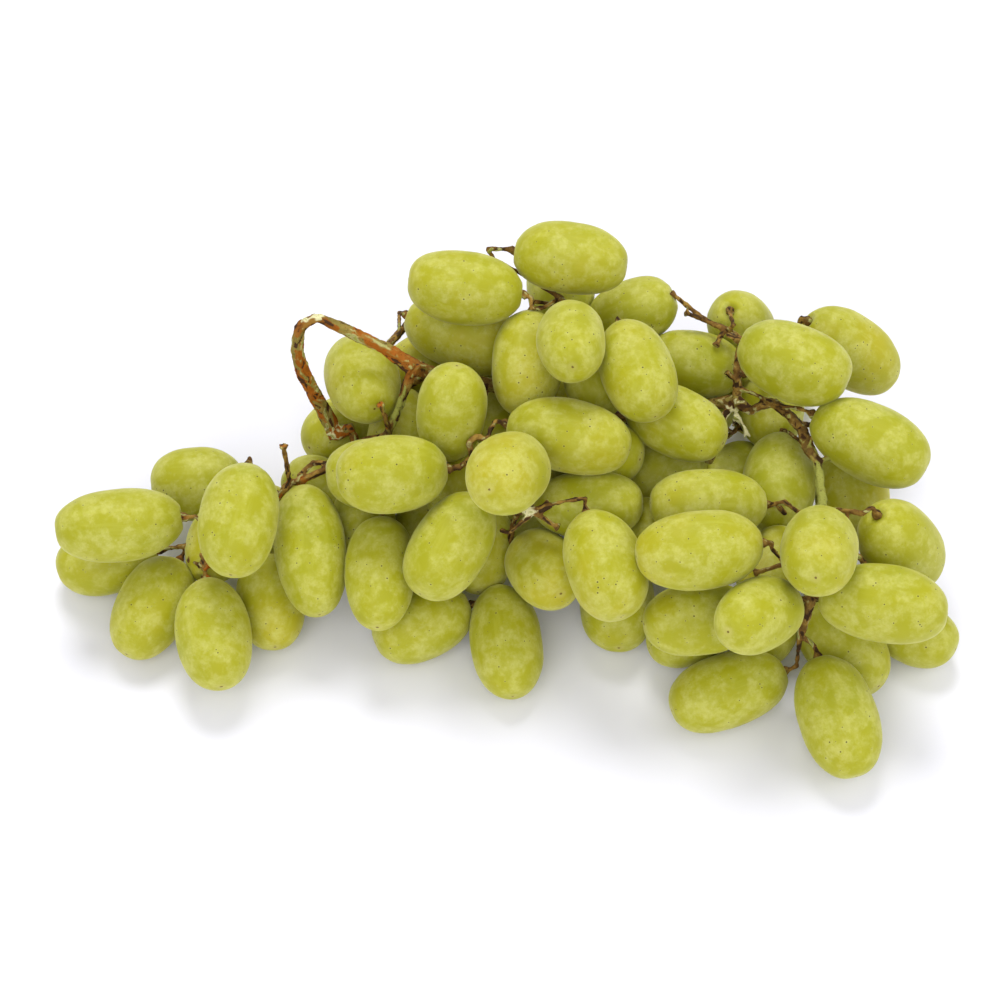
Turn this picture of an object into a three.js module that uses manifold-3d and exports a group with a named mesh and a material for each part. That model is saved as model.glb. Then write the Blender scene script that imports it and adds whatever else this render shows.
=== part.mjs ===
// A bunch of long white table grapes, lying down as picked. Millimetres, +Z up, X along the bunch.
// The stalk grew as one piece: a bent main stem, its side branches and the short pedicels that each
// end in a berry. Every berry is a body of its own.
import * as THREE from "three";
import { mergeVertices } from "three/addons/utils/BufferGeometryUtils.js";
import Module from "manifold-3d";

// Driving dimensions
const touchGap = 0.35; // clear space between neighbouring bodies
const berrySides = 8; // facets round a berry
const berryRings = 6; // facets along a berry
const branchSides = 5;
const pedicelSides = 5;
const pedicelRadius = 0.6;
const pedicelHeadRadius = 1.35; // the swollen disc that carries the berry
const pedicelHeadLength = 1.1;
const pedicelNeckLength = 2.6; // the straight stretch behind the berry, with the head
const bentNeckLength = 1.7; // the same, where the pedicel bends close to the berry
const pedicelFootFlare = 1.25; // how much thicker a pedicel is where it leaves its branch
const pedicelReach = 42; // furthest that a berry hangs from the branch it grew on
const rootSteps = 4; // places tried along each stretch of branch for a pedicel's foot
const crowdingCost = 12; // millimetres of detour that a pedicel makes to miss a millimetre of berry
const elbowBluntness = 0.6; // height of the blunt end of a twig, in radii
const ballsEachWay = 3; // balls on each side of a berry's middle that stand for it while it settles
const settleRounds = 240;
const stalkTolerance = 0.25; // slivers that the cuts leave on the stalk are merged up to this size

const wasm = await Module();
wasm.setup();

const berrySkin = { color: 0xb9bf45, roughness: 0.42, metalness: 0 };
const stalkBark = { color: 0x8a4e1c, roughness: 0.8, metalness: 0 };

// Berries, cluster by cluster: [x, y, z, heading, dip, length, width].
// The heading is the compass direction that the blossom end points in, in degrees from +X towards +Y,
// and the dip is how far that end points down. A z of 0 lets the berry rest on the surface.
const clusters = {
  // the wing, a side cluster that lies apart on the left
  wing: [
    [-86, -29, 28, 188, 0, 29, 16.5],
    [-71, -6, 14, 185, 0, 22, 17.2],
    [-58, -34, 36, 263, 15, 26.5, 17.5],
    [-89, -27, 0, 190, 5, 24, 15.5],
    [-80, -36, 0, 244, 12, 25.5, 17],
    [-65, -47, 12, 280, 12, 26.5, 17],
    [-53, -37, 0, 276, 10, 23, 15.8],
  ],
  // the front row, from the wing to the middle
  front: [
    [-43, -30, 22, 279, 18, 31, 16.3],
    [-27, -39, 20, 269, 8, 27.5, 15.7],
    [-24, -27, 44, 190, -5, 25, 17.2],
    [-28, -13, 33, 184, 0, 24, 15.8],
    [-11, -38, 32, 238, 16, 26.5, 17.5],
    [-17, -43, 0, 202, 6, 23.5, 16.8],
    [-1, -47, 0, 277, 12, 27, 16.5],
    [10, -37, 22, 288, -25, 25, 16],
    [23, -47, 37, 287, 14, 25.5, 17.5],
    [27, -36, 0, 270, 10, 24.5, 16.8],
    [2, -34, 53, 246, -33, 25.5, 17.2],
  ],
  // berries round the bend of the main stem
  neck: [
    [-31, 5, 37, 285, -15, 25, 17.4],
    [-11, -10, 45, 74, -62, 23, 15.8],
    [-36, 9, 16, 222, -10, 23, 16.5],
    [-24, 4, 24, 264, 18, 24, 15.5],
  ],
  // the crown, highest and furthest back
  crown: [
    [-8, 18, 55, 177, -8, 26.5, 16.8],
    [-8, 18.5, 38, 340, 6, 28, 17.3],
    [16, 24, 57, 349, 0, 26.5, 16.3],
    [16, 34, 38, 95, -10, 23, 15.8],
    [18, -2, 59, 270, -22, 25, 15.5],
    [5, 6, 43, 265, 20, 25, 16.5],
    [29, 27, 38, 10, -22, 22, 15.5],
    [30, -4, 51, 287, 10, 25, 16.3],
    [-17, 23, 23, 208, 0, 23, 15.5],
  ],
  // the heart, partly or wholly hidden, with the berries that carry the back of the bunch
  heart: [
    [15.5, -17, 44, 345, 0, 28.5, 16.5],
    [20, -25, 31, 355, -8, 25, 15.3],
    [38, -7, 20, 222, 0, 23, 16],
    [64, 12, 22, 270, 8, 24, 16],
    [-22, 28, 0, 130, 5, 25, 16.5],
    [4, 30, 0, 40, 5, 26, 16.5],
    [34, 26, 0, 75, 0, 25, 16.5],
    [66, 26, 0, 50, 0, 25, 16],
    [4, -8, 0, 10, 0, 26, 16.5],
  ],
  // the flank, high on the right
  flank: [
    [57, 28, 30, 55, 60, 26, 15.5],
    [67, 1, 48, 336, 6, 26.5, 17.7],
    [83, 22, 29, 347, 36, 27, 17],
    [83, -13, 39, 331, 6, 28.5, 17.5],
    [46, 13, 31, 176, -12, 23, 15.8],
    [39, -7, 40, 329, 0, 24.5, 16],
  ],
  // the tail, low on the right
  tail: [
    [47, -27, 33, 184, -6, 26.5, 16.2],
    [43, -49, 45, 189, -2, 28, 17],
    [64, -14, 24, 264, 8, 25, 17],
    [82, -13, 18, 270, 15, 26, 17],
    [89, -36, 28, 358, 60, 26, 17.4],
    [69, -50, 46, 260, -25, 25.5, 17],
    [84, -54, 32, 347, -4, 28.5, 17.2],
    [56, -60, 36, 228, -28, 25.5, 15.8],
    [44, -53, 25, 190, -5, 25, 16.2],
    [51, -61, 0, 200, 4, 27.5, 17],
    [77, -66, 0, 287, 20, 28, 17.7],
    [79, -51, 0, 308, 5, 25, 16.5],
    [91, -46, 0, 332, 0, 21, 14.6],
  ],
};

// Branches: points [x, y, z, radius] from the older wood outwards.
const branches = {
  mainStem: [
    [-38, 1, 23, 2.3],
    [-41, 3, 30, 2],
    [-45, 4, 42, 1.9],
    [-46, 4, 50, 1.7],
    [-45, 5, 57, 1.4],
    [-41, 5, 60, 1.2],
    [-36, 4, 58, 1.6],
    [-26, 2, 53, 1.7],
    [-20, 0, 49, 2.2],
    [-16, 4, 42, 1.9],
    [-3, 6, 36, 1.7],
    [9, 5, 32, 1.9],
    [24, 5, 25, 1.5],
    [37, 6, 25, 1.5],
    [47, 6, 28, 1.4],
    [55, 5, 31, 1.8],
    [58, 1, 32, 1.1],
    [60, 1, 34, 1.2],
    [63, 1, 35, 1.3],
    [66, -3, 36, 1.4],
    [69, -8, 36, 1.4],
    [70, -12, 35, 1.6],
    [72, -17, 35, 1.3],
    [72, -24, 36, 1.1],
    [72, -32, 37, 1.2],
    [73, -38, 32, 1.2],
    [71, -44, 29, 1.2],
    [69, -49, 27, 1.5],
    [67, -53, 19, 1],
  ],
  wingBranch: [
    [-20, 0, 48, 1.5],
    [-22, -3, 42, 1.2],
    [-24, -6, 38, 1],
    [-26, -8, 34, 1.1],
    [-31, -7, 31, 1],
    [-40, -13, 28, 1],
    [-45, -16, 28, 0.9],
    [-48, -17, 28, 1.1],
    [-51, -20, 26, 0.9],
    [-61, -28, 20, 0.9],
    [-67, -33, 18, 1.2],
  ],
  wingLoop: [
    [-39, -12, 29, 0.8],
    [-43, -11, 28, 0.7],
    [-46, -15, 28, 0.8],
  ],
  wingTwig: [
    [-67, -33, 18, 0.9],
    [-69, -27, 17, 0.7],
    [-72, -25, 15, 0.8],
  ],
  neckBranch: [
    [-16, 4, 42, 1.1],
    [-17, 12, 32, 1],
    [-25, 14, 23, 1],
    [-27, 17, 19, 0.9],
  ],
  crownBranch: [
    [9, 5, 32, 1.3],
    [10, 15, 38, 1],
    [12, 20, 45, 1],
    [14, 20, 50, 1.2],
  ],
  frontBranch: [
    [9, 5, 32, 1.3],
    [9, -8, 32, 1],
    [7, -20, 34, 1],
    [6, -32, 37, 1.6],
  ],
  frontTwig: [
    [7, -20, 34, 0.9],
    [-1, -18, 43, 0.8],
    [-5, -17, 45, 0.8],
    [-7, -19, 45, 0.8],
    [-6, -20, 41, 0.9],
    [-9, -21, 39, 0.8],
    [-12, -21, 38, 1],
  ],
  lowTwig: [
    [6, -32, 37, 1.1],
    [4, -27, 30, 0.9],
    [3, -24, 22, 0.8],
    [2, -27, 16, 0.9],
  ],
  heartBranch: [
    [24, 5, 25, 1.1],
    [25, -8, 30, 1],
    [26, -22, 21, 0.9],
  ],
  backBranch: [
    [9, 5, 32, 1.1],
    [12, 18, 24, 1],
    [18, 26, 20, 0.9],
  ],
  flankBranch: [
    [55, 5, 31, 1.4],
    [55, 9, 36, 1],
    [55, 12, 39, 0.9],
    [56, 15, 41, 0.8],
    [53, 17, 42, 1],
    [48, 20, 42, 0.8],
  ],
  flankTwig: [
    [55, 9, 36, 0.9],
    [64, 11, 34, 0.8],
    [69, 20, 33, 0.8],
  ],
  hangingTwig: [
    [55, 5, 31, 1.2],
    [52, 2, 29, 0.9],
    [51, -4, 27, 0.9],
    [48, -8, 25, 1.6],
  ],
  tailTwig: [
    [72, -32, 37, 0.9],
    [67, -32, 36, 0.7],
    [64, -28, 35, 0.7],
    [61, -27, 33, 0.8],
  ],
  outerTwig: [
    [72, -32, 37, 0.9],
    [76, -34, 40, 0.7],
    [80, -36, 41, 0.8],
  ],
  tailSpur: [
    [73, -38, 32, 1],
    [80, -41, 32, 0.8],
    [83, -41, 24, 0.8],
    [82, -40, 15, 0.9],
  ],
};

// Pedicels that don't take the shortest way: points from the berry back to the wood they grew on.
const pedicelWays = {
  wing_berry_3: [[-56, -18, 34], [-57, -24, 23]],
  front_berry_2: [[-29, -16, 19], [-32, -9, 24], [-31, -7, 31]],
  front_berry_9: [[19, -33, 43], [15, -33, 42], [11, -32, 39], [6, -32, 37]],
  front_berry_11: [[7, -22, 41], [7, -20, 34]],
  crown_berry_1: [[7, 14, 53], [10, 16, 51], [14, 20, 50]],
  crown_berry_2: [[-23, 12, 47], [-26, 2, 53]],
  crown_berry_3: [[0, 27, 59], [-3, 27, 59], [-1, 26, 56], [5, 24, 54], [14, 20, 50]],
  crown_berry_8: [[27, 11, 49], [25, 9, 38], [24, 5, 25]],
  flank_berry_1: [[54, 16, 45], [53, 17, 42]],
  flank_berry_3: [[70, 23, 35], [69, 20, 33]],
  flank_berry_4: [[68, -4, 39], [63, -1, 37], [60, 3, 35], [56, 7, 33]],
  tail_berry_2: [[59, -47, 43], [62, -47, 38], [66, -46, 33], [71, -44, 29]],
  tail_berry_3: [[67, -4, 30], [70, -12, 35]],
};

// Bare pedicels that have lost their berry: foot and head.
const barePedicels = [
  [[-48, -17, 28], [-49, -14, 38]],
  [[-67, -34, 18], [-71, -29, 15]],
  [[-25, -8, 35], [-27, -7, 44]],
  [[7, -32, 37], [13, -36, 36]],
  [[48, 20, 42], [40, 27, 44]],
  [[48, 20, 42], [43, 21, 44]],
  [[52, 17, 42], [50, 14, 40]],
  [[62, -47, 37], [56, -47, 34]],
];

const radians = THREE.MathUtils.degToRad;

// The unit vector from a berry's stem end to its blossom end.
function pointing(heading, dip) {
  const flat = Math.cos(radians(dip));
  return new THREE.Vector3(
    flat * Math.cos(radians(heading)),
    flat * Math.sin(radians(heading)),
    -Math.sin(radians(dip)),
  );
}

function makeBerry(name, [x, y, z, heading, dip, length, width]) {
  const axis = pointing(heading, dip);
  const a = length / 2;
  const b = width / 2;
  const rise = Math.hypot(a * axis.z, b * Math.hypot(axis.x, axis.y));
  return { name, axis, a, b, rise, at: new THREE.Vector3(x, y, Math.max(z, rise)) };
}

// Balls along a berry's long axis whose union fills it.
function ballsOf(berry) {
  const { a, b } = berry;
  const far = (a * a - b * b) / a;
  const balls = [];
  for (let k = -ballsEachWay; k <= ballsEachWay; k++) {
    const along = (far * k) / ballsEachWay;
    const radius = b * Math.sqrt(1 - (along * along) / (a * a - b * b));
    balls.push({ along, radius });
  }
  return balls;
}

function ballPlaces(berry) {
  return berry.balls.map(({ along, radius }) => ({
    at: berry.at.clone().addScaledVector(berry.axis, along),
    radius,
  }));
}

// Pushes berries apart, off the branches and up from the surface until each has its own space.
function settle(berries, links) {
  for (const berry of berries) berry.balls = ballsOf(berry);
  for (let round = 0; round < settleRounds; round++) {
    for (let i = 0; i < berries.length; i++) {
      for (let j = i + 1; j < berries.length; j++) pushApart(berries[i], berries[j]);
      for (const link of links) pushOff(berries[i], link);
      berries[i].at.z = Math.max(berries[i].at.z, berries[i].rise);
    }
  }
}

function pushApart(one, other) {
  if (one.at.distanceTo(other.at) > one.a + other.a + touchGap) return;
  let deepest = 0;
  const push = new THREE.Vector3();
  for (const p of ballPlaces(one)) {
    for (const q of ballPlaces(other)) {
      const apart = q.at.distanceTo(p.at);
      const overlap = p.radius + q.radius + touchGap - apart;
      if (overlap <= deepest) continue;
      deepest = overlap;
      push.subVectors(q.at, p.at).multiplyScalar(overlap / apart);
    }
  }
  one.at.addScaledVector(push, -0.5);
  other.at.addScaledVector(push, 0.5);
}

function pushOff(berry, link) {
  const near = new THREE.Vector3();
  let deepest = 0;
  const push = new THREE.Vector3();
  for (const ball of ballPlaces(berry)) {
    link.line.closestPointToPoint(ball.at, true, near);
    const apart = near.distanceTo(ball.at);
    const overlap = ball.radius + link.radius + touchGap - apart;
    if (overlap <= deepest) continue;
    deepest = overlap;
    push.subVectors(ball.at, near).multiplyScalar(overlap / apart);
  }
  berry.at.addScaledVector(push, 0.5);
}

// A geometry whose shared corners are merged, as a solid that can be joined and cut.
function solid(geometry) {
  geometry.deleteAttribute("normal");
  geometry.deleteAttribute("uv");
  const merged = mergeVertices(geometry, 1e-4);
  return new wasm.Manifold(
    new wasm.Mesh({
      numProp: 3,
      vertProperties: new Float32Array(merged.attributes.position.array),
      triVerts: new Uint32Array(merged.index.array),
    }),
  );
}

function geometryOf(manifold) {
  const mesh = manifold.getMesh();
  const geometry = new THREE.BufferGeometry();
  geometry.setAttribute("position", new THREE.BufferAttribute(mesh.vertProperties, 3));
  geometry.setIndex(new THREE.BufferAttribute(mesh.triVerts, 1));
  geometry.computeVertexNormals();
  return geometry;
}

// Turns a shape that was made along +Y so that it points along a direction from a place.
function aim(geometry, from, direction) {
  const turn = new THREE.Quaternion().setFromUnitVectors(new THREE.Vector3(0, 1, 0), direction);
  return geometry.applyQuaternion(turn).translate(from.x, from.y, from.z);
}

// A berry's body, a faceted oval with its long axis along +Y.
function berryGeometry(a, b) {
  const profile = [];
  for (let k = 0; k <= berryRings; k++) {
    const angle = (Math.PI * k) / berryRings;
    profile.push(new THREE.Vector2(b * Math.sin(angle), -a * Math.cos(angle)));
  }
  profile[0].x = 0;
  profile[berryRings].x = 0;
  return new THREE.LatheGeometry(profile, berrySides);
}

// A tapered twig between two places. Its ends are blunt cones that fill the elbow to the next one.
function twig(from, to, fromRadius, toRadius, sides, fromTip = elbowBluntness * fromRadius) {
  const direction = new THREE.Vector3().subVectors(to, from);
  const length = direction.length();
  const profile = [
    new THREE.Vector2(0, -fromTip),
    new THREE.Vector2(fromRadius, 0),
    new THREE.Vector2(toRadius, length),
    new THREE.Vector2(0, length + elbowBluntness * toRadius),
  ];
  return solid(aim(new THREE.LatheGeometry(profile, sides), from, direction.normalize()));
}

// The swollen head of a pedicel and its neck, pointing away from the berry.
function pedicelHead(from, direction, neckLength) {
  const profile = [
    new THREE.Vector2(0, 0),
    new THREE.Vector2(pedicelHeadRadius, 0),
    new THREE.Vector2(pedicelRadius, pedicelHeadLength),
    new THREE.Vector2(pedicelRadius, neckLength),
    new THREE.Vector2(0, neckLength + elbowBluntness * pedicelRadius),
  ];
  return solid(aim(new THREE.LatheGeometry(profile, pedicelSides), from, direction));
}

function place([x, y, z]) {
  return new THREE.Vector3(x, y, z);
}

function branchLinks() {
  const links = [];
  for (const points of Object.values(branches)) {
    for (let k = 1; k < points.length; k++) {
      const line = new THREE.Line3(place(points[k - 1]), place(points[k]));
      const fromRadius = points[k - 1][3];
      const toRadius = points[k][3];
      const link = { line, fromRadius, toRadius, radius: Math.max(fromRadius, toRadius) };
      if (points === branches.mainStem && k === 1) link.fromTip = 0; // the flat cut of the knife
      links.push(link);
    }
  }
  return links;
}

// How deep a straight twig would cut into the berries, added up over them.
function crowding(from, to, berries) {
  const line = new THREE.Line3(from, to);
  const near = new THREE.Vector3();
  let depth = 0;
  for (const berry of berries) {
    let deepest = 0;
    for (const ball of ballPlaces(berry)) {
      line.closestPointToPoint(ball.at, true, near);
      deepest = Math.max(deepest, ball.radius + pedicelRadius - near.distanceTo(ball.at));
    }
    depth += deepest;
  }
  return depth;
}

// The place on a branch that a berry's pedicel grows from, with the clearest way to it.
function rootOfPedicel(neck, berries, links) {
  let best = null;
  let lowest = Infinity;
  const root = new THREE.Vector3();
  for (const link of links) {
    for (let step = 0; step <= rootSteps; step++) {
      link.line.at(step / rootSteps, root);
      const reach = root.distanceTo(neck);
      if (reach > pedicelReach) continue;
      const cost = reach + crowdingCost * crowding(neck, root, berries);
      if (cost >= lowest) continue;
      lowest = cost;
      best = root.clone();
    }
  }
  return best;
}

function pedicel(berry, berries, links) {
  const way = (pedicelWays[berry.name] ?? []).map(place);
  const neckLength = way.length > 0 ? bentNeckLength : pedicelNeckLength;
  const outwards = berry.axis.clone().negate();
  const head = berry.at.clone().addScaledVector(outwards, berry.a + touchGap + 0.1);
  const neck = head.clone().addScaledVector(outwards, neckLength);
  if (way.length === 0) way.push(rootOfPedicel(neck, berries, links));
  const parts = [pedicelHead(head, outwards, neckLength)];
  let from = neck;
  for (const to of way) {
    const flare = to === way.at(-1) ? pedicelFootFlare : 1;
    parts.push(twig(from, to, pedicelRadius, flare * pedicelRadius, pedicelSides));
    from = to;
  }
  return parts;
}

function barePedicel([foot, head]) {
  const inwards = new THREE.Vector3().subVectors(place(foot), place(head)).normalize();
  return [
    pedicelHead(place(head), inwards, bentNeckLength),
    twig(place(head), place(foot), pedicelRadius, pedicelFootFlare * pedicelRadius, pedicelSides),
  ];
}

// The whole stalk as one solid, cut clear of every berry. Scraps that a cut sets loose are dropped.
function stalkSolid(berries, links) {
  const twigs = links.map((link) => {
    const { line, fromRadius, toRadius, fromTip } = link;
    return twig(line.start, line.end, fromRadius, toRadius, branchSides, fromTip);
  });
  for (const berry of berries) twigs.push(...pedicel(berry, berries, links));
  for (const ends of barePedicels) twigs.push(...barePedicel(ends));
  let stalk = wasm.Manifold.union(twigs);
  for (const berry of berries) {
    const room = solid(aim(berryGeometry(berry.a + touchGap, berry.b + touchGap), berry.at, berry.axis));
    if (room.intersect(stalk).volume() > 0) stalk = stalk.subtract(room);
  }
  const pieces = stalk.decompose();
  pieces.sort((one, other) => other.volume() - one.volume());
  return pieces[0].simplify(stalkTolerance);
}

const berries = [];
for (const [cluster, places] of Object.entries(clusters)) {
  places.forEach((row, k) => berries.push(makeBerry(`${cluster}_berry_${k + 1}`, row)));
}
const links = branchLinks();
settle(berries, links);

const bunch = new THREE.Group();
bunch.name = "bunch_of_grapes";
for (const berry of berries) {
  const geometry = berryGeometry(berry.a, berry.b);
  const mesh = new THREE.Mesh(geometry, new THREE.MeshStandardMaterial(berrySkin));
  mesh.name = berry.name;
  mesh.quaternion.setFromUnitVectors(new THREE.Vector3(0, 1, 0), berry.axis);
  mesh.position.copy(berry.at);
  bunch.add(mesh);
}
const stalkMaterial = new THREE.MeshStandardMaterial(stalkBark);
const stalk = new THREE.Mesh(geometryOf(stalkSolid(berries, links)), stalkMaterial);
stalk.name = "stalk";
bunch.add(stalk);

// The origin is under the middle of the bunch, on the surface it lies on.
bunch.updateMatrixWorld(true);
const extent = new THREE.Box3().setFromObject(bunch, true);
const middle = extent.getCenter(new THREE.Vector3());
for (const mesh of bunch.children) mesh.position.sub(new THREE.Vector3(middle.x, middle.y, extent.min.z));

export default bunch;
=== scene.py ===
import math
import random

import bmesh
import bpy
import numpy as np
from mathutils import Matrix, Vector, noise
from mathutils.bvhtree import BVHTree
from mathutils.kdtree import KDTree


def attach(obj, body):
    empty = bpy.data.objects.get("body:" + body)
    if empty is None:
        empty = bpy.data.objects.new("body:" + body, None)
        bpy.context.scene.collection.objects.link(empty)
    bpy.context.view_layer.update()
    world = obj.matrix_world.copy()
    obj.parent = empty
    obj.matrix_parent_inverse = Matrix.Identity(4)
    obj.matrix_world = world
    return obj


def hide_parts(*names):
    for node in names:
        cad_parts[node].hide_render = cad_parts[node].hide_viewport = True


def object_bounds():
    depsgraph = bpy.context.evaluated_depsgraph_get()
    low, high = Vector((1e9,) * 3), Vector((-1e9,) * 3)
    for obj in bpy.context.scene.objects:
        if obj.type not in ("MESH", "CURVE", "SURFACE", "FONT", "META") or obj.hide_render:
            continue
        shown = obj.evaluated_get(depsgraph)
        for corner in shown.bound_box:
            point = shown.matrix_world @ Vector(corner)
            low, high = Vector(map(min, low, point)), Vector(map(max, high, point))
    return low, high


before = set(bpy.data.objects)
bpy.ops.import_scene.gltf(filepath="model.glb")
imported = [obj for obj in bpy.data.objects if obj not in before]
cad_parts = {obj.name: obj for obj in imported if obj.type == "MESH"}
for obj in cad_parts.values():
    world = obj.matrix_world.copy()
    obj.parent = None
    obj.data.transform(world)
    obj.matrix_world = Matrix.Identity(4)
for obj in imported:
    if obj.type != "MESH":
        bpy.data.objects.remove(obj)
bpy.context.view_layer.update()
print("frame loaded")

mm = 0.001
scene = bpy.context.scene
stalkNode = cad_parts["stalk"]
berryNodes = [name for name in sorted(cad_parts) if "_berry_" in name]


# the camera, the light and the surface

studio = {
    "aim": (-0.5, 18.3, 0.0),        # mm, the point the camera looks at
    "elevation": 52.0,               # degrees above the horizon
    "distance": 667.0,               # mm
    "lens": 100.0,                   # mm on a 36 mm sensor
    "clipStart": 0.01,               # m
    "lightAim": (0.0, 0.0, 0.02),    # m, the point the lights look at
    "floorSize": 6.0,                # m
    "floorRoughness": 0.9,
    "floorSpecular": 0.1,
    "floorColor": (0.86, 0.86, 0.95, 1.0),
    "worldColor": (1.0, 1.0, 1.0, 1.0),
    "worldStrength": 0.56,
}

# name: place in m, size in m, power in W, colour
softboxes = {
    "frontLight": ((-0.2, -1.0, 0.95), 1.2, 10.0, (1.0, 0.99, 0.97)),
    "backLight": ((-0.05, 0.5, 1.1), 0.55, 7.5, (1.0, 0.995, 0.98)),
    "sideLight": ((0.9, -0.3, 0.8), 0.9, 3.0, (0.98, 0.99, 1.0)),
}


def aimAt(thing, target):
    thing.rotation_euler = (Vector(target) - thing.location).to_track_quat("-Z", "Y").to_euler()


def makeCamera():
    data = bpy.data.cameras.new("camera")
    data.lens = studio["lens"]
    data.sensor_width = 36.0
    data.clip_start = studio["clipStart"]
    camera = bpy.data.objects.new("camera", data)
    scene.collection.objects.link(camera)
    aim = Vector(studio["aim"]) * mm
    rise = math.radians(studio["elevation"])
    away = Vector((0.0, -math.cos(rise), math.sin(rise))) * studio["distance"] * mm
    camera.location = aim + away
    aimAt(camera, aim)
    scene.camera = camera


def makeLights():
    world = bpy.data.worlds.new("paleRoom")
    world.use_nodes = True
    background = world.node_tree.nodes["Background"]
    background.inputs["Color"].default_value = studio["worldColor"]
    background.inputs["Strength"].default_value = studio["worldStrength"]
    scene.world = world
    for name, (place, size, power, color) in softboxes.items():
        data = bpy.data.lights.new(name, "AREA")
        data.shape = "DISK"
        data.size = size
        data.energy = power
        data.color = color
        light = bpy.data.objects.new(name, data)
        scene.collection.objects.link(light)
        light.location = place
        aimAt(light, studio["lightAim"])


def makeFloor(height):
    half = studio["floorSize"] / 2
    mesh = bpy.data.meshes.new("floor")
    corners = [(-half, -half, height), (half, -half, height), (half, half, height), (-half, half, height)]
    mesh.from_pydata(corners, [], [(0, 1, 2, 3)])
    floor = bpy.data.objects.new("floor", mesh)
    scene.collection.objects.link(floor)
    paper = bpy.data.materials.new("paleTable")
    paper.use_nodes = True
    shader = paper.node_tree.nodes["Principled BSDF"]
    shader.inputs["Base Color"].default_value = studio["floorColor"]
    shader.inputs["Roughness"].default_value = studio["floorRoughness"]
    shader.inputs["Specular IOR Level"].default_value = studio["floorSpecular"]
    mesh.materials.append(paper)


scene.view_settings.view_transform = "Standard"
makeCamera()
makeLights()
print("camera and lights placed")


# small helpers for shader nodes

def newGroup(name, inputs, outputs):
    group = bpy.data.node_groups.new(name, "ShaderNodeTree")
    for label, kind, value in inputs:
        socket = group.interface.new_socket(label, in_out="INPUT", socket_type=kind)
        if value is not None:
            socket.default_value = value
    for label, kind in outputs:
        group.interface.new_socket(label, in_out="OUTPUT", socket_type=kind)
    return group


def fillInputs(tree, node, values):
    # a socket is linked, anything else is set
    for key, value in values.items():
        if isinstance(value, bpy.types.NodeSocket):
            tree.links.new(value, node.inputs[key])
        else:
            node.inputs[key].default_value = value


def addNode(tree, kind, values=None, **settings):
    node = tree.nodes.new(kind)
    for key, value in settings.items():
        setattr(node, key, value)
    fillInputs(tree, node, values or {})
    return node


def mathNode(tree, operation, first, second=0.0, third=0.0, clamp=False):
    return addNode(tree, "ShaderNodeMath", {0: first, 1: second, 2: third},
                   operation=operation, use_clamp=clamp).outputs[0]


def ramp(tree, value, low, high):
    node = addNode(tree, "ShaderNodeMapRange", {"Value": value, "From Min": low, "From Max": high})
    node.interpolation_type = "SMOOTHSTEP"
    return node.outputs["Result"]


def mixColor(tree, factor, first, second):
    # socket 0 is the factor, 6 and 7 are the two colours and output 2 is the colour that comes out
    return addNode(tree, "ShaderNodeMix", {0: factor, 6: first, 7: second}, data_type="RGBA").outputs[2]


def addTo(tree, color, mask, amount, tint):
    return mixColor(tree, mathNode(tree, "MULTIPLY", mask, amount), color, tint)


def noiseNode(tree, vector, scale, detail=2.0, **more):
    values = {"Vector": vector, "Scale": scale, "Detail": detail, **more}
    return addNode(tree, "ShaderNodeTexNoise", values).outputs["Fac"]


def attribute(tree, name):
    return addNode(tree, "ShaderNodeAttribute", attribute_name=name).outputs["Fac"]


def newMaterial(name):
    material = bpy.data.materials.new(name)
    material.use_nodes = True
    return material, material.node_tree, material.node_tree.nodes["Principled BSDF"]


# shader groups

def makeSpecksGroup():
    # scattered round lenticel dots, each with a paler halo
    group = newGroup("skinSpecks", [
        ("Vector", "NodeSocketVector", None),
        ("Spacing", "NodeSocketFloat", 2.2),
        ("Dot Size", "NodeSocketFloat", 0.12),
    ], [("Mask", "NodeSocketFloat"), ("Halo", "NodeSocketFloat")])
    inside = addNode(group, "NodeGroupInput")
    outside = addNode(group, "NodeGroupOutput")
    perMetre = mathNode(group, "DIVIDE", 1000.0, inside.outputs["Spacing"])
    cells = addNode(group, "ShaderNodeTexVoronoi", {"Vector": inside.outputs["Vector"], "Scale": perMetre})
    wobble = noiseNode(group, inside.outputs["Vector"], 300.0)
    size = mathNode(group, "MULTIPLY", inside.outputs["Dot Size"], ramp(group, wobble, 0.28, 0.66))
    mask = ramp(group, cells.outputs["Distance"], size, mathNode(group, "MULTIPLY", size, 0.45))
    halo = ramp(group, cells.outputs["Distance"], mathNode(group, "MULTIPLY", size, 2.0), size)
    group.links.new(mask, outside.inputs["Mask"])
    group.links.new(halo, outside.inputs["Halo"])
    return group


def makeBloomGroup():
    # the waxy film: soft cloudy patches, rubbed thin in places
    group = newGroup("waxBloom", [
        ("Vector", "NodeSocketVector", None),
        ("Patch Scale", "NodeSocketFloat", 150.0),
        ("Amount", "NodeSocketFloat", 0.5),
    ], [("Mask", "NodeSocketFloat"), ("Grain", "NodeSocketFloat")])
    inside = addNode(group, "NodeGroupInput")
    outside = addNode(group, "NodeGroupOutput")
    vector = inside.outputs["Vector"]
    patches = noiseNode(group, vector, inside.outputs["Patch Scale"], 4.0, Roughness=0.58, Distortion=0.15)
    rubbed = ramp(group, patches, 0.38, 0.61)
    mottled = ramp(group, noiseNode(group, vector, 600.0, 5.0, Roughness=0.70), 0.39, 0.60)
    grain = ramp(group, noiseNode(group, vector, 1900.0), 0.25, 0.75)
    dusty = mathNode(group, "MULTIPLY", rubbed, mathNode(group, "MULTIPLY_ADD", mottled, 0.55, 0.45))
    dusty = mathNode(group, "MULTIPLY", dusty, mathNode(group, "MULTIPLY_ADD", grain, 0.3, 0.7))
    mask = mathNode(group, "MULTIPLY", dusty, inside.outputs["Amount"], clamp=True)
    group.links.new(mask, outside.inputs["Mask"])
    group.links.new(grain, outside.inputs["Grain"])
    return group


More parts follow.
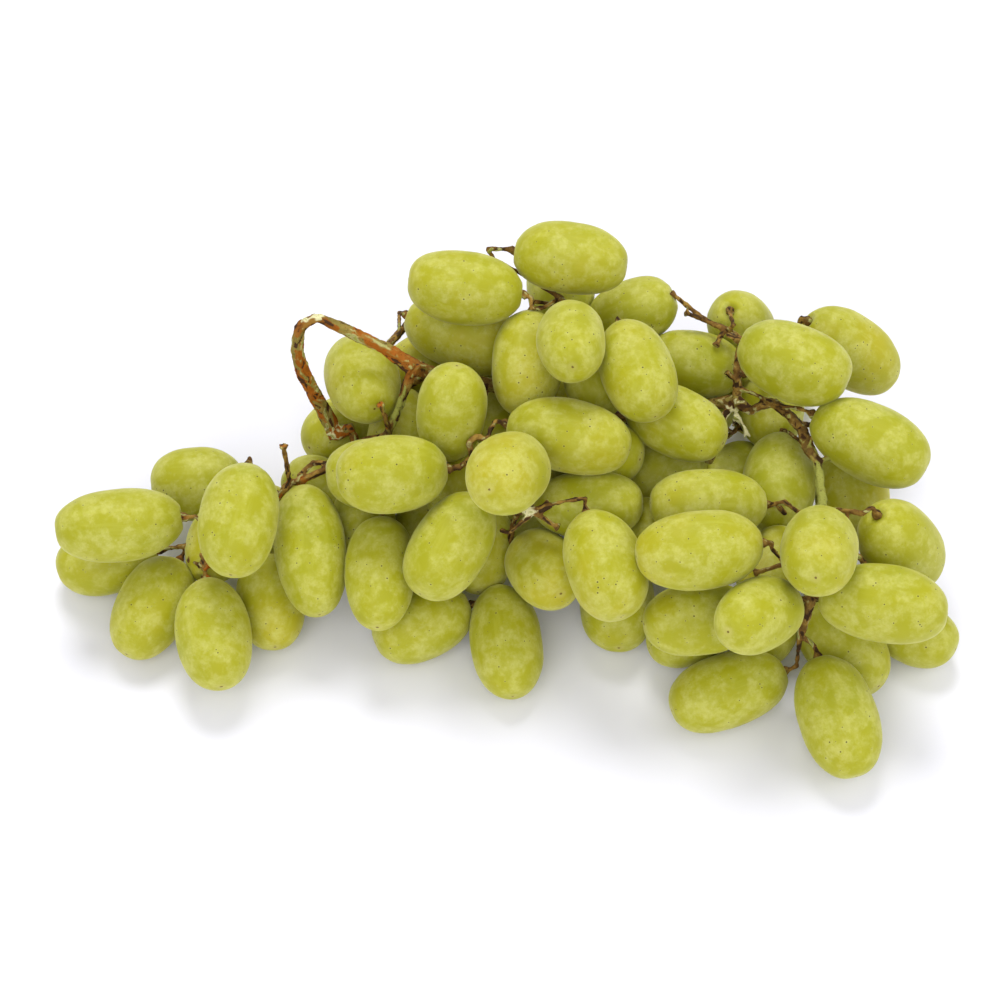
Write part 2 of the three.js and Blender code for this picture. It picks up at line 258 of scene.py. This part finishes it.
def makeStreaksGroup():
    # fine lines that run along one axis of the given coordinates
    group = newGroup("lengthStreaks", [
        ("Vector", "NodeSocketVector", None),
        ("Across", "NodeSocketFloat", 700.0),
        ("Along", "NodeSocketFloat", 90.0),
    ], [("Mask", "NodeSocketFloat")])
    inside = addNode(group, "NodeGroupInput")
    outside = addNode(group, "NodeGroupOutput")
    stretch = addNode(group, "ShaderNodeCombineXYZ", {
        "X": inside.outputs["Across"], "Y": inside.outputs["Across"], "Z": inside.outputs["Along"]})
    placed = addNode(group, "ShaderNodeVectorMath", {0: inside.outputs["Vector"], 1: stretch.outputs[0]},
                     operation="MULTIPLY")
    lines = noiseNode(group, placed.outputs[0], 1.0, 4.0, Roughness=0.55, Distortion=0.35)
    group.links.new(lines, outside.inputs["Mask"])
    return group


specksGroup = makeSpecksGroup()
bloomGroup = makeBloomGroup()
streaksGroup = makeStreaksGroup()


def useGroup(tree, group, values):
    node = tree.nodes.new("ShaderNodeGroup")
    node.node_tree = group
    fillInputs(tree, node, values)
    return node


# the skin of a berry

skin = {
    "flesh": (0.380, 0.375, 0.011, 1.0),
    "ripe": (0.440, 0.395, 0.016, 1.0),     # the yellower berries and blossom ends
    "green": (0.335, 0.350, 0.012, 1.0),    # the greener berries and stem ends
    "vein": (0.500, 0.500, 0.070, 1.0),
    "bloom": (0.575, 0.570, 0.165, 1.0),
    "speck": (0.055, 0.035, 0.006, 1.0),
    "halo": (0.600, 0.610, 0.250, 1.0),
    "scar": (0.120, 0.060, 0.016, 1.0),
    "scarRing": (0.520, 0.480, 0.140, 1.0),
    "blush": (0.400, 0.175, 0.050, 1.0),
    "roughness": 0.50,
    "bloomRoughness": 0.66,
    "subsurface": 0.65,
    "subsurfaceRadius": (1.0, 0.85, 0.15),
    "subsurfaceScale": 3.2 * mm,
    "ior": 1.34,
    "sheen": 0.20,
    "sheenRoughness": 0.35,
    "sheenTint": (0.93, 0.94, 0.62, 1.0),
    "cloudScale": 75.0,
    "veinScales": (520.0, 80.0),            # across and along the berry
    "veinStrength": 0.34,
    "patchScale": 225.0,
    "bloomAmount": 0.66,
    "freckleScale": 1100.0,
    "speckSpacing": 1.7,                    # mm
    "speckSize": 0.16,                      # as a share of the spacing
    "speckStrength": 0.85,
    "haloStrength": 0.12,
    "ringReach": (1.7, 0.6),                # mm from the tip
    "ringStrength": 0.4,
    "scarStrength": 0.85,
    "bumpStrength": 0.35,
    "bumpDepth": 0.08 * mm,
}


def makeSkin():
    material, tree, shader = newMaterial("grapeSkin")
    coordinates = addNode(tree, "ShaderNodeAttribute", attribute_name="berryPlace").outputs["Vector"]
    seed = attribute(tree, "berrySeed")
    tone = attribute(tree, "berryTone")
    along = attribute(tree, "alongBerry")
    tipDistance = attribute(tree, "tipDistance")
    stemDistance = attribute(tree, "stemDistance")
    shift = addNode(tree, "ShaderNodeCombineXYZ", {"X": seed, "Y": seed, "Z": seed})
    placed = addNode(tree, "ShaderNodeVectorMath", {0: coordinates, 1: shift.outputs[0]},
                     operation="ADD").outputs[0]

    # ripeness: by berry, and a little along it
    clouds = noiseNode(tree, placed, skin["cloudScale"], 3.0)
    ripeness = mathNode(tree, "MULTIPLY_ADD", along, 0.14, tone)
    ripeness = mathNode(tree, "ADD", ripeness, mathNode(tree, "MULTIPLY_ADD", clouds, 1.8, -0.9))
    color = mixColor(tree, ramp(tree, ripeness, 0.0, 0.9), skin["flesh"], skin["ripe"])
    color = mixColor(tree, ramp(tree, ripeness, 0.0, -0.9), color, skin["green"])

    # pale veins that run from end to end under the skin
    across, lengthwise = skin["veinScales"]
    streaks = useGroup(tree, streaksGroup, {"Vector": placed, "Across": across, "Along": lengthwise})
    streaks = streaks.outputs["Mask"]
    color = addTo(tree, color, ramp(tree, streaks, 0.50, 0.74), skin["veinStrength"], skin["vein"])

    bloom = useGroup(tree, bloomGroup, {
        "Vector": placed, "Patch Scale": skin["patchScale"], "Amount": skin["bloomAmount"]})
    color = mixColor(tree, bloom.outputs["Mask"], color, skin["bloom"])

    # brown or pink where the pedicel pulls on the skin
    freckles = noiseNode(tree, placed, skin["freckleScale"])
    blushEdge = mathNode(tree, "MULTIPLY_ADD", clouds, 5.0, 1.8)
    blush = mathNode(tree, "MULTIPLY", ramp(tree, stemDistance, blushEdge, 0.6), attribute(tree, "blush"))
    blush = mathNode(tree, "MULTIPLY", blush, ramp(tree, freckles, 0.36, 0.60))
    color = mixColor(tree, blush, color, skin["blush"])

    specks = useGroup(tree, specksGroup, {
        "Vector": placed, "Spacing": skin["speckSpacing"], "Dot Size": skin["speckSize"]})
    color = addTo(tree, color, specks.outputs["Halo"], skin["haloStrength"], skin["halo"])
    color = addTo(tree, color, specks.outputs["Mask"], skin["speckStrength"], skin["speck"])

    # the dry scar of the flower, with a pale ring
    ring = ramp(tree, tipDistance, *skin["ringReach"])
    color = addTo(tree, color, ring, skin["ringStrength"], skin["scarRing"])
    scarEdge = mathNode(tree, "MULTIPLY_ADD", freckles, 0.75, 0.02)
    scar = ramp(tree, tipDistance, scarEdge, mathNode(tree, "MULTIPLY", scarEdge, 0.5))
    color = addTo(tree, color, scar, skin["scarStrength"], skin["scar"])

    rough = mathNode(tree, "MULTIPLY_ADD", bloom.outputs["Mask"], skin["bloomRoughness"] - skin["roughness"],
                     skin["roughness"])
    rough = mathNode(tree, "MAXIMUM", rough, mathNode(tree, "MULTIPLY", scar, 0.8))
    height = mathNode(tree, "MULTIPLY_ADD", bloom.outputs["Grain"], 0.25,
                      mathNode(tree, "MULTIPLY", specks.outputs["Mask"], 0.5))
    height = mathNode(tree, "ADD", height, mathNode(tree, "MULTIPLY", streaks, 0.8))
    bump = addNode(tree, "ShaderNodeBump", {
        "Strength": skin["bumpStrength"], "Distance": skin["bumpDepth"], "Height": height})

    tree.links.new(color, shader.inputs["Base Color"])
    tree.links.new(rough, shader.inputs["Roughness"])
    tree.links.new(bump.outputs[0], shader.inputs["Normal"])
    shader.inputs["Subsurface Weight"].default_value = skin["subsurface"]
    shader.inputs["Subsurface Radius"].default_value = skin["subsurfaceRadius"]
    shader.inputs["Subsurface Scale"].default_value = skin["subsurfaceScale"]
    shader.inputs["IOR"].default_value = skin["ior"]
    shader.inputs["Sheen Weight"].default_value = skin["sheen"]
    shader.inputs["Sheen Roughness"].default_value = skin["sheenRoughness"]
    shader.inputs["Sheen Tint"].default_value = skin["sheenTint"]
    return material


grapeSkin = makeSkin()


# where each berry hangs

def cornersOf(node):
    points = np.empty(len(node.data.vertices) * 3)
    node.data.vertices.foreach_get("co", points)
    return points.reshape(-1, 3)


stalkPoints = cornersOf(stalkNode)


def nearStalk(point):
    return np.linalg.norm(stalkPoints - np.array(point), axis=1).min()


def readBerry(name):
    # the two points furthest apart are its ends, and the one by the stalk is the stem end
    points = cornersOf(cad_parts[name])
    gaps = np.linalg.norm(points[:, None] - points[None], axis=2)
    first, second = np.unravel_index(gaps.argmax(), gaps.shape)
    stemEnd, tip = sorted((points[first], points[second]), key=nearStalk)
    axis = (tip - stemEnd) / np.linalg.norm(tip - stemEnd)
    centre = (tip + stemEnd) / 2
    fromAxis = (points - centre) - np.outer((points - centre) @ axis, axis)
    return {
        "name": name,
        "node": name,
        "centre": centre,
        "axis": axis,
        "halfLength": np.linalg.norm(tip - stemEnd) / 2,
        "halfWidth": np.linalg.norm(fromAxis, axis=1).max(),
    }


berries = [readBerry(name) for name in berryNodes]
byName = {berry["name"]: berry for berry in berries}

# Berries deep in the bunch: the neighbour they lie by, the shift from its middle in mm,
# the heading and dip of the blossom end in degrees, and the length and width in mm.
innerBerries = {
    "wingInner1": ("wing_berry_3", (-4, 20, -27), 80, 0, 20, 13.5),
    "wingInner2": ("wing_berry_3", (-9, 11, -26), 78, -6, 20, 14),
    "frontInner1": ("front_berry_5", (8, 11, -18), 264, 14, 22, 14.5),
    "frontInner2": ("front_berry_2", (-7, 22, -9), 270, 14, 21, 14.5),
    "frontInner3": ("front_berry_5", (-8, 22, -18), 240, 10, 21, 14.5),
    "frontInner4": ("front_berry_1", (-1, 22, -10), 160, -30, 20, 15),
    "neckInner1": ("neck_berry_2", (9, 18, -19), 270, 14, 23, 15),
    "neckInner2": ("neck_berry_2", (1, -5, -20), 252, 6, 21, 14.5),
    "neckInner3": ("neck_berry_4", (1, 12, -2), 149, -50, 21, 14.7),
    "crownInner1": ("crown_berry_8", (-11, 6, -11), 282, 6, 20, 14),
    "heartInner1": ("heart_berry_1", (12, 6, -10), 333, -14, 20, 15),
    "heartInner2": ("heart_berry_2", (8, -3, -9), 282, 6, 20, 14),
    "crownInner2": ("crown_berry_6", (12, 10, -25), 4, 0, 24, 15),
    "heartInner4": ("heart_berry_1", (-2, 9, -24), 95, 4, 22, 15),
    "heartInner3": ("heart_berry_3", (13, 4, -6), 230, 3, 23, 16),
    "tailInner1": ("tail_berry_6", (-8, 15, -24), 245, 2, 21, 14),
    "tailInner2": ("tail_berry_9", (0, 7, -15), 202, 2, 22, 15),
    "tailInner3": ("tail_berry_8", (12, 17, -29), 258, 0, 20, 14),
    "flankInner1": ("flank_berry_2", (-10, 20, -28), 107, -60, 22, 14.8),
}
settling = {"rounds": 80, "ballsEachWay": 3, "gap": 0.1 * mm, "reach": 32 * mm}


def ballsOf(berry):
    # balls along the long axis whose union fills the berry
    a, b = berry["halfLength"], berry["halfWidth"]
    steps = np.arange(-settling["ballsEachWay"], settling["ballsEachWay"] + 1) / settling["ballsEachWay"]
    along = steps * (a * a - b * b) / a
    radius = b * np.sqrt(1 - along ** 2 / (a * a - b * b))
    return berry["centre"] + np.outer(along, berry["axis"]), radius


def makeRoom(moving, others):
    # a moving berry gives way to every other one and to the surface
    for _ in range(settling["rounds"]):
        for berry in moving:
            places, radii = ballsOf(berry)
            push = np.zeros(3)
            for other in others:
                if other is berry:
                    continue
                if np.linalg.norm(other["centre"] - berry["centre"]) > settling["reach"]:
                    continue
                otherPlaces, otherRadii = ballsOf(other)
                between = places[:, None] - otherPlaces[None]
                apart = np.linalg.norm(between, axis=2)
                overlap = radii[:, None] + otherRadii[None] + settling["gap"] - apart
                at = np.unravel_index(overlap.argmax(), overlap.shape)
                if overlap[at] > 0:
                    push += between[at] / apart[at] * overlap[at] * 0.5
            berry["centre"] = berry["centre"] + push
            lowest = (ballsOf(berry)[0][:, 2] - radii).min()
            if lowest < 0:
                berry["centre"] = berry["centre"] - np.array((0, 0, lowest))


inner = []
for name, (neighbour, shift, heading, dip, length, width) in innerBerries.items():
    flat = math.cos(math.radians(dip))
    turn = math.radians(heading)
    inner.append({
        "name": name,
        "node": None,
        "centre": byName[neighbour]["centre"] + np.array(shift) * mm,
        "axis": np.array((flat * math.cos(turn), flat * math.sin(turn), -math.sin(math.radians(dip)))),
        "halfLength": length * mm / 2,
        "halfWidth": width * mm / 2,
    })
makeRoom(inner, berries + inner)
berries += inner
print(len(berries), "berries hang on the stalk")


# the shape of a berry

berryShape = {
    "rings": 44,
    "sides": 52,
    "fullness": 2.26,        # 2 is an ellipsoid, more has fuller shoulders
    "crowding": 0.12,        # how much the rings close up towards the ends
    "taper": 0.05,           # most that one end is fatter than the other
    "bend": 0.45 * mm,
    "oval": 0.022,
    "panels": 0.007,         # depth of the flat lengthwise panels, as a share of the radius
    "lumps": 0.20 * mm,
    "lumpScales": (130, 330),
    "dimple": (0.75 * mm, 1.7 * mm),         # depth and width at the stem end
    "collar": (0.22 * mm, 2.6 * mm, 0.8 * mm),    # height, radius and width of its raised edge
    "tipHollow": (0.25 * mm, 1.8 * mm),      # depth and width at the blossom end
    "tipPoint": (0.14 * mm, 0.45 * mm),      # height and width of the point in it
}


def bell(distance, width):
    return math.exp(-(distance / width) ** 2)


def berryMesh(berry, chance):
    a, b = berry["halfLength"], berry["halfWidth"]
    shape = berryShape
    taper = chance.uniform(-1, 1) * shape["taper"]
    bend = chance.uniform(0.2, 1) * shape["bend"]
    oval = chance.uniform(0, 1) * shape["oval"]
    panelCount = chance.choice((3, 4, 5))
    panelTurn = chance.uniform(0, math.tau)
    seed = chance.uniform(0, 40)
    offset = Vector((seed, seed * 0.7, seed * 1.3))
    rings, sides = shape["rings"], shape["sides"]
    broad, small = shape["lumpScales"]
    points = []
    for ring in range(rings + 1):
        share = ring / rings
        t = math.pi * (share - shape["crowding"] * math.sin(math.tau * share))
        u = -math.cos(t)
        width = b * (1 - abs(u) ** shape["fullness"]) ** (1 / shape["fullness"]) if 0 < ring < rings else 0.0
        width *= 1 + taper * u
        for side in range(sides if 0 < ring < rings else 1):
            turn = math.tau * side / sides
            radius = width * (1 + oval * math.cos(2 * turn)
                              + shape["panels"] * math.cos(panelCount * turn + panelTurn) * (1 - u * u))
            place = Vector((radius * math.cos(turn), radius * math.sin(turn), a * u))
            out = Vector((place.x / b ** 2, place.y / b ** 2, place.z / a ** 2)).normalized()
            lump = noise.noise(place * broad + offset) + 0.4 * noise.noise(place * small + offset)
            place += out * shape["lumps"] * lump
            if u < 0:
                collarHeight, collarRadius, collarWidth = shape["collar"]
                place.z += shape["dimple"][0] * bell(radius, shape["dimple"][1])
                place.z -= collarHeight * bell(radius - collarRadius, collarWidth)
            else:
                place.z -= shape["tipHollow"][0] * bell(radius, shape["tipHollow"][1])
                place.z += shape["tipPoint"][0] * bell(radius, shape["tipPoint"][1])
            place.x += bend * (1 - u * u) - bend * 0.5
            points.append((place, u))
    faces = []
    last = len(points) - 1
    for side in range(sides):
        after = (side + 1) % sides
        faces.append((0, 1 + after, 1 + side))
        for ring in range(rings - 2):
            low = 1 + ring * sides
            high = low + sides
            faces.append((low + side, low + after, high + after, high + side))
        top = 1 + (rings - 2) * sides
        faces.append((top + side, top + after, last))
    turned = Vector((0, 0, 1)).rotation_difference(Vector(berry["axis"])).to_matrix().to_4x4()
    spin = Matrix.Rotation(chance.uniform(0, math.tau), 4, "Z")
    standing = Matrix.Translation(Vector(berry["centre"])) @ turned @ spin
    mesh = bpy.data.meshes.new(berry["name"])
    mesh.from_pydata([standing @ place for place, _ in points], [], faces)
    mesh.polygons.foreach_set("use_smooth", [True] * len(mesh.polygons))
    stemEnd, tip = points[0][0], points[-1][0]
    berry["stemEnd"] = standing @ stemEnd
    flat = [value for place, _ in points for value in place]
    mesh.attributes.new("berryPlace", "FLOAT_VECTOR", "POINT").data.foreach_set("vector", flat)
    values = {
        "alongBerry": [u for _, u in points],
        "stemDistance": [(place - stemEnd).length / mm for place, _ in points],
        "tipDistance": [(place - tip).length / mm for place, _ in points],
        "berrySeed": [seed * 0.1] * len(points),
        "berryTone": [chance.uniform(-0.4, 0.4)] * len(points),
        "blush": [max(0.0, chance.uniform(-0.6, 0.85))] * len(points),
    }
    for label, numbers in values.items():
        mesh.attributes.new(label, "FLOAT", "POINT").data.foreach_set("value", numbers)
    return mesh


def placeBerry(berry):
    chance = random.Random(berry["name"])
    mesh = berryMesh(berry, chance)
    mesh.materials.append(grapeSkin)
    name = "grape_" + berry["name"] if berry["node"] else berry["name"]
    piece = bpy.data.objects.new(name, mesh)
    scene.collection.objects.link(piece)
    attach(piece, "root")
    if berry["node"]:
        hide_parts(berry["node"])


for berry in berries:
    placeBerry(berry)
print("berries shaped")


# the stalk

bark = {
    "voxel": 0.29 * mm,
    "triangles": 190000,         # what the finished stalk is thinned to
    "smoothing": 3,
    "knobs": 0.22 * mm,
    "knobScales": (520, 1150),
    "ridges": 0.09 * mm,
    "streakSteps": 6,            # to each side of a point
    "streakStep": 0.5 * mm,
    "streakScale": 1050,
    "broadScale": 430,
    "probe": 8 * mm,             # how far the thickness is measured
    "grainReach": 3.2 * mm,      # points within this give the way the wood runs
    "grainPoints": (9000, 1800), # sampled points, and the ones that get a direction
    "pedicel": 0.6 * mm,         # radius of a pedicel to an inner berry
    "neck": 3.5 * mm,            # its straight length above the berry
    "thin": 1.6,                 # mm, as thick as a pedicel
    "thick": 2.9,                # mm, as thick as the main stem
    "rust": (0.340, 0.098, 0.003, 1.0),
    "olive": (0.260, 0.205, 0.040, 1.0),
    "shade": (0.060, 0.022, 0.005, 1.0),
    "core": (0.165, 0.095, 0.018, 1.0),     # the stem inside the bunch
    "twig": (0.150, 0.072, 0.011, 1.0),
    "twigDark": (0.040, 0.018, 0.003, 1.0),
    "twigGold": (0.330, 0.195, 0.035, 1.0),
    "rustEnds": (-12.0, -26.0),             # mm along X over which the stem turns rusty
    "straw": (0.740, 0.700, 0.390, 1.0),
    "sap": (0.300, 0.310, 0.060, 1.0),
    "roughness": 0.80,
    "specular": 0.28,
}

# spots of another colour on the stalk: place in mm, reach in mm
strawSpots = [((-45.0, 23.4, 61.6), 2.3), ((-41.6, 23.6, 62.2), 2.3), ((-39.6, 20.0, 24.6), 1.9),
              ((5.5, -14.5, 38.0), 2.0), ((54.4, 20.5, 29.0), 3.0), ((56.9, 17.0, 27.0), 2.4)]
sapSpots = [((71.5, -3.5, 35.8), 7.0), ((71.5, -11.5, 36.8), 5.5), ((-23.5, 13.8, 40.0), 3.6)]

# small things on the stalk: start, end and two radii, all in mm
# the heel of the cut, broken spurs, loose twigs, and torn fibres last
spurs = [
    ((-38.3, 19.3, 24.0), (-34.6, 19.8, 25.6), 1.9, 1.1),
    ((-34.8, 19.4, 24.0), (-34.0, 16.8, 20.0), 1.0, 1.5),
    ((54.6, 25.5, 35.0), (51.8, 26.6, 37.6), 0.5, 0.8),
    ((69.6, 6.2, 35.4), (71.4, 8.4, 38.4), 0.7, 0.5),
    ((71.4, 8.4, 38.4), (73.0, 9.0, 40.0), 0.6, 0.8),
    ((71.6, 1.8, 35.2), (75.2, 2.2, 36.8), 0.6, 0.9),
    ((76.2, -15.8, 40.2), (76.4, -18.2, 38.8), 0.6, 0.5),
    ((6.2, -14.4, 36.4), (1.6, -17.0, 33.4), 0.6, 0.5),
    ((1.6, -17.0, 33.4), (-0.4, -15.6, 32.4), 0.6, 0.7),
    ((8.5, -14.0, 37.4), (10.6, -12.8, 38.6), 0.9, 1.1),
    ((-27.2, 51.0, 19.5), (-22.0, 50.6, 28.0), 1.0, 1.05),
    ((54.9, 22.8, 31.6), (54.1, 20.3, 28.6), 0.55, 0.42),
    ((54.3, 21.0, 29.4), (53.6, 18.6, 27.2), 0.42, 0.35),
    ((54.3, 20.6, 29.0), (55.4, 18.8, 27.4), 0.40, 0.36),
    ((54.6, 20.4, 29.6), (56.4, 17.6, 28.0), 0.40, 0.45),
    ((56.4, 17.6, 28.0), (57.6, 16.2, 26.2), 0.45, 0.36),
    ((56.4, 17.6, 28.0), (56.2, 16.0, 26.0), 0.42, 0.35),
]


def tube(mesh, start, end, startRadius, endRadius, sides=8):
    # a short closed tapered tube, joined to the stalk before it is remeshed
    axis = (end - start).normalized()
    side = axis.orthogonal().normalized()
    other = axis.cross(side)
    loops = []
    for place, radius in ((start, startRadius), (end, endRadius)):
        loops.append([mesh.verts.new(place + (side * math.cos(math.tau * k / sides)
                                              + other * math.sin(math.tau * k / sides)) * radius)
                      for k in range(sides)])
    for k in range(sides):
        after = (k + 1) % sides
        mesh.faces.new((loops[0][k], loops[0][after], loops[1][after], loops[1][k]))
    mesh.faces.new(list(reversed(loops[0])))
    mesh.faces.new(loops[1])


def makeStalkMesh():
    work = bmesh.new()
    work.from_mesh(stalkNode.data)
    bmesh.ops.remove_doubles(work, verts=work.verts, dist=0.002 * mm)
    nearest = KDTree(len(stalkPoints))
    for index, point in enumerate(stalkPoints):
        nearest.insert(point, index)
    nearest.balance()
    for berry in berries:
        outwards = -Vector(berry["axis"])
        seat = berry["stemEnd"]
        if berry["node"]:
            tube(work, seat - outwards * 0.5 * mm, seat + outwards * 1.2 * mm, 0.7 * mm, 0.8 * mm)
            tube(work, seat + outwards * 0.2 * mm, seat + outwards * 0.8 * mm, 1.3 * mm, 1.15 * mm)
            continue
        neck = seat + outwards * bark["neck"]
        root = Vector(nearest.find(neck)[0])
        tube(work, seat - outwards * 0.5 * mm, seat + outwards * 1.2 * mm, 1.2 * mm, bark["pedicel"])
        tube(work, seat, neck, bark["pedicel"], bark["pedicel"])
        if (root - neck).length > 1.0 * mm:
            tube(work, neck, root, bark["pedicel"], 0.75 * mm)
    for start, end, startRadius, endRadius in spurs:
        tube(work, Vector(start) * mm, Vector(end) * mm, startRadius * mm, endRadius * mm)
    rough = bpy.data.meshes.new("stalkRough")
    work.to_mesh(rough)
    work.free()
    holder = bpy.data.objects.new("stalkRough", rough)
    scene.collection.objects.link(holder)
    remesh = holder.modifiers.new("remesh", "REMESH")
    remesh.mode = "VOXEL"
    remesh.voxel_size = bark["voxel"]
    graph = bpy.context.evaluated_depsgraph_get()
    mesh = bpy.data.meshes.new_from_object(holder.evaluated_get(graph))
    bpy.data.objects.remove(holder)
    bpy.data.meshes.remove(rough)
    return mesh


def grainDirections(points):
    # the way the wood runs: the long axis of the stalk's points close by
    chance = np.random.default_rng(7)
    sampled, directed = bark["grainPoints"]
    sample = points[chance.permutation(len(points))[:sampled]]
    seeds = sample[:directed]
    tree = KDTree(len(sample))
    for index, point in enumerate(sample):
        tree.insert(point, index)
    tree.balance()
    directions = []
    for seed in seeds:
        close = sample[[index for _, index, _ in tree.find_range(seed, bark["grainReach"])]]
        values, vectors = np.linalg.eigh(np.cov((close - close.mean(0)).T) if len(close) > 3 else np.eye(3))
        directions.append(vectors[:, 2])
    seedTree = KDTree(len(seeds))
    for index, point in enumerate(seeds):
        seedTree.insert(point, index)
    seedTree.balance()
    return seedTree, np.array(directions)


def finishStalkMesh(mesh):
    work = bmesh.new()
    work.from_mesh(mesh)
    for _ in range(bark["smoothing"]):
        bmesh.ops.smooth_vert(work, verts=work.verts, factor=0.5,
                              use_axis_x=True, use_axis_y=True, use_axis_z=True)
    work.normal_update()
    points = np.array([vert.co for vert in work.verts])
    seedTree, directions = grainDirections(points)
    surface = BVHTree.FromBMesh(work)
    values = {"thickness": [], "streak": [], "broad": [], "straw": [], "sap": []}
    steps = [step * bark["streakStep"] for step in range(-bark["streakSteps"], bark["streakSteps"] + 1)]
    coarse, fine = bark["knobScales"]
    moves = []
    for vert in work.verts:
        inward = -vert.normal
        hit = surface.ray_cast(vert.co + inward * 0.05 * mm, inward, bark["probe"])
        values["thickness"].append((hit[3] or bark["probe"]) / mm)
        direction = Vector(directions[seedTree.find(vert.co)[1]])
        places = [vert.co + direction * step for step in steps]
        streak = sum(noise.noise(place * bark["streakScale"]) for place in places) / len(places)
        broad = sum(noise.noise(place * bark["broadScale"]) for place in places) / len(places)
        values["streak"].append(0.5 + 2.8 * streak)
        values["broad"].append(0.5 + 1.6 * broad)
        knob = noise.noise(vert.co * coarse) + 0.6 * noise.noise(vert.co * fine)
        moves.append(vert.normal * (bark["knobs"] * knob + bark["ridges"] * 3 * streak))
        values["straw"].append(max(spotAt(vert.co, spot) for spot in strawSpots))
        values["sap"].append(max(spotAt(vert.co, spot) for spot in sapSpots))
    for vert, move in zip(work.verts, moves):
        vert.co += move
    work.to_mesh(mesh)
    work.free()
    for label, numbers in values.items():
        mesh.attributes.new(label, "FLOAT", "POINT").data.foreach_set("value", numbers)
    mesh.polygons.foreach_set("use_smooth", [True] * len(mesh.polygons))


def spotAt(point, spot):
    place, reach = spot
    return bell((point - Vector(place) * mm).length, reach * mm)


def makeBark():
    material, tree, shader = newMaterial("stalkBark")
    place = addNode(tree, "ShaderNodeTexCoord").outputs["Object"]
    thickness = attribute(tree, "thickness")
    streaks = attribute(tree, "streak")
    broad = attribute(tree, "broad")
    blotches = noiseNode(tree, place, 430.0, 3.0)
    fine = noiseNode(tree, place, 2400.0, 3.0)

    # the thick stem, rusty at its cut end
    sideways = addNode(tree, "ShaderNodeSeparateXYZ", {"Vector": place}).outputs["X"]
    rusty = ramp(tree, sideways, bark["rustEnds"][0] * mm, bark["rustEnds"][1] * mm)
    stem = mixColor(tree, rusty, bark["core"], bark["rust"])
    stem = mixColor(tree, ramp(tree, broad, 0.60, 0.70), stem, bark["olive"])
    stem = mixColor(tree, ramp(tree, streaks, 0.34, 0.16), stem, bark["shade"])
    stem = addTo(tree, stem, ramp(tree, streaks, 0.60, 0.76), 0.6, bark["twigGold"])

    # the twigs and pedicels
    twig = mixColor(tree, ramp(tree, blotches, 0.44, 0.64), bark["twig"], bark["twigGold"])
    twig = mixColor(tree, ramp(tree, blotches, 0.44, 0.30), twig, bark["twigDark"])
    twig = mixColor(tree, ramp(tree, streaks, 0.36, 0.16), twig, bark["twigDark"])
    color = mixColor(tree, ramp(tree, thickness, bark["thin"], bark["thick"]), twig, stem)

    # dry straw, green sap and dark flecks over both
    patchy = mathNode(tree, "MULTIPLY_ADD", streaks, 1.1, -0.5)
    straw = ramp(tree, mathNode(tree, "ADD", attribute(tree, "straw"), patchy), 0.34, 0.66)
    color = mixColor(tree, straw, color, bark["straw"])
    sap = ramp(tree, mathNode(tree, "ADD", attribute(tree, "sap"), patchy), 0.30, 0.72)
    color = mixColor(tree, sap, color, bark["sap"])
    color = addTo(tree, color, ramp(tree, fine, 0.56, 0.70), 0.5, bark["shade"])

    height = mathNode(tree, "MULTIPLY_ADD", streaks, 1.0, mathNode(tree, "MULTIPLY", fine, 0.7))
    bump = addNode(tree, "ShaderNodeBump", {"Strength": 0.9, "Distance": 0.25 * mm, "Height": height})
    rough = mathNode(tree, "MULTIPLY_ADD", fine, 0.3, bark["roughness"] - 0.15)
    tree.links.new(color, shader.inputs["Base Color"])
    tree.links.new(rough, shader.inputs["Roughness"])
    tree.links.new(bump.outputs[0], shader.inputs["Normal"])
    shader.inputs["Specular IOR Level"].default_value = bark["specular"]
    return material


def makeStalk():
    mesh = makeStalkMesh()
    finishStalkMesh(mesh)
    mesh.name = "stalkWood"
    mesh.materials.clear()
    mesh.materials.append(makeBark())
    piece = bpy.data.objects.new("stalkWood", mesh)
    scene.collection.objects.link(piece)
    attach(piece, "root")
    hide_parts("stalk")
    mesh.calc_loop_triangles()
    thinning = piece.modifiers.new("thinning", "DECIMATE")
    thinning.ratio = min(1.0, bark["triangles"] / len(mesh.loop_triangles))
    print("stalk shaped with", len(mesh.loop_triangles), "triangles, thinned to", bark["triangles"])


makeStalk()


# the surface, and the size of it all

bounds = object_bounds()
makeFloor(bounds[0][2])
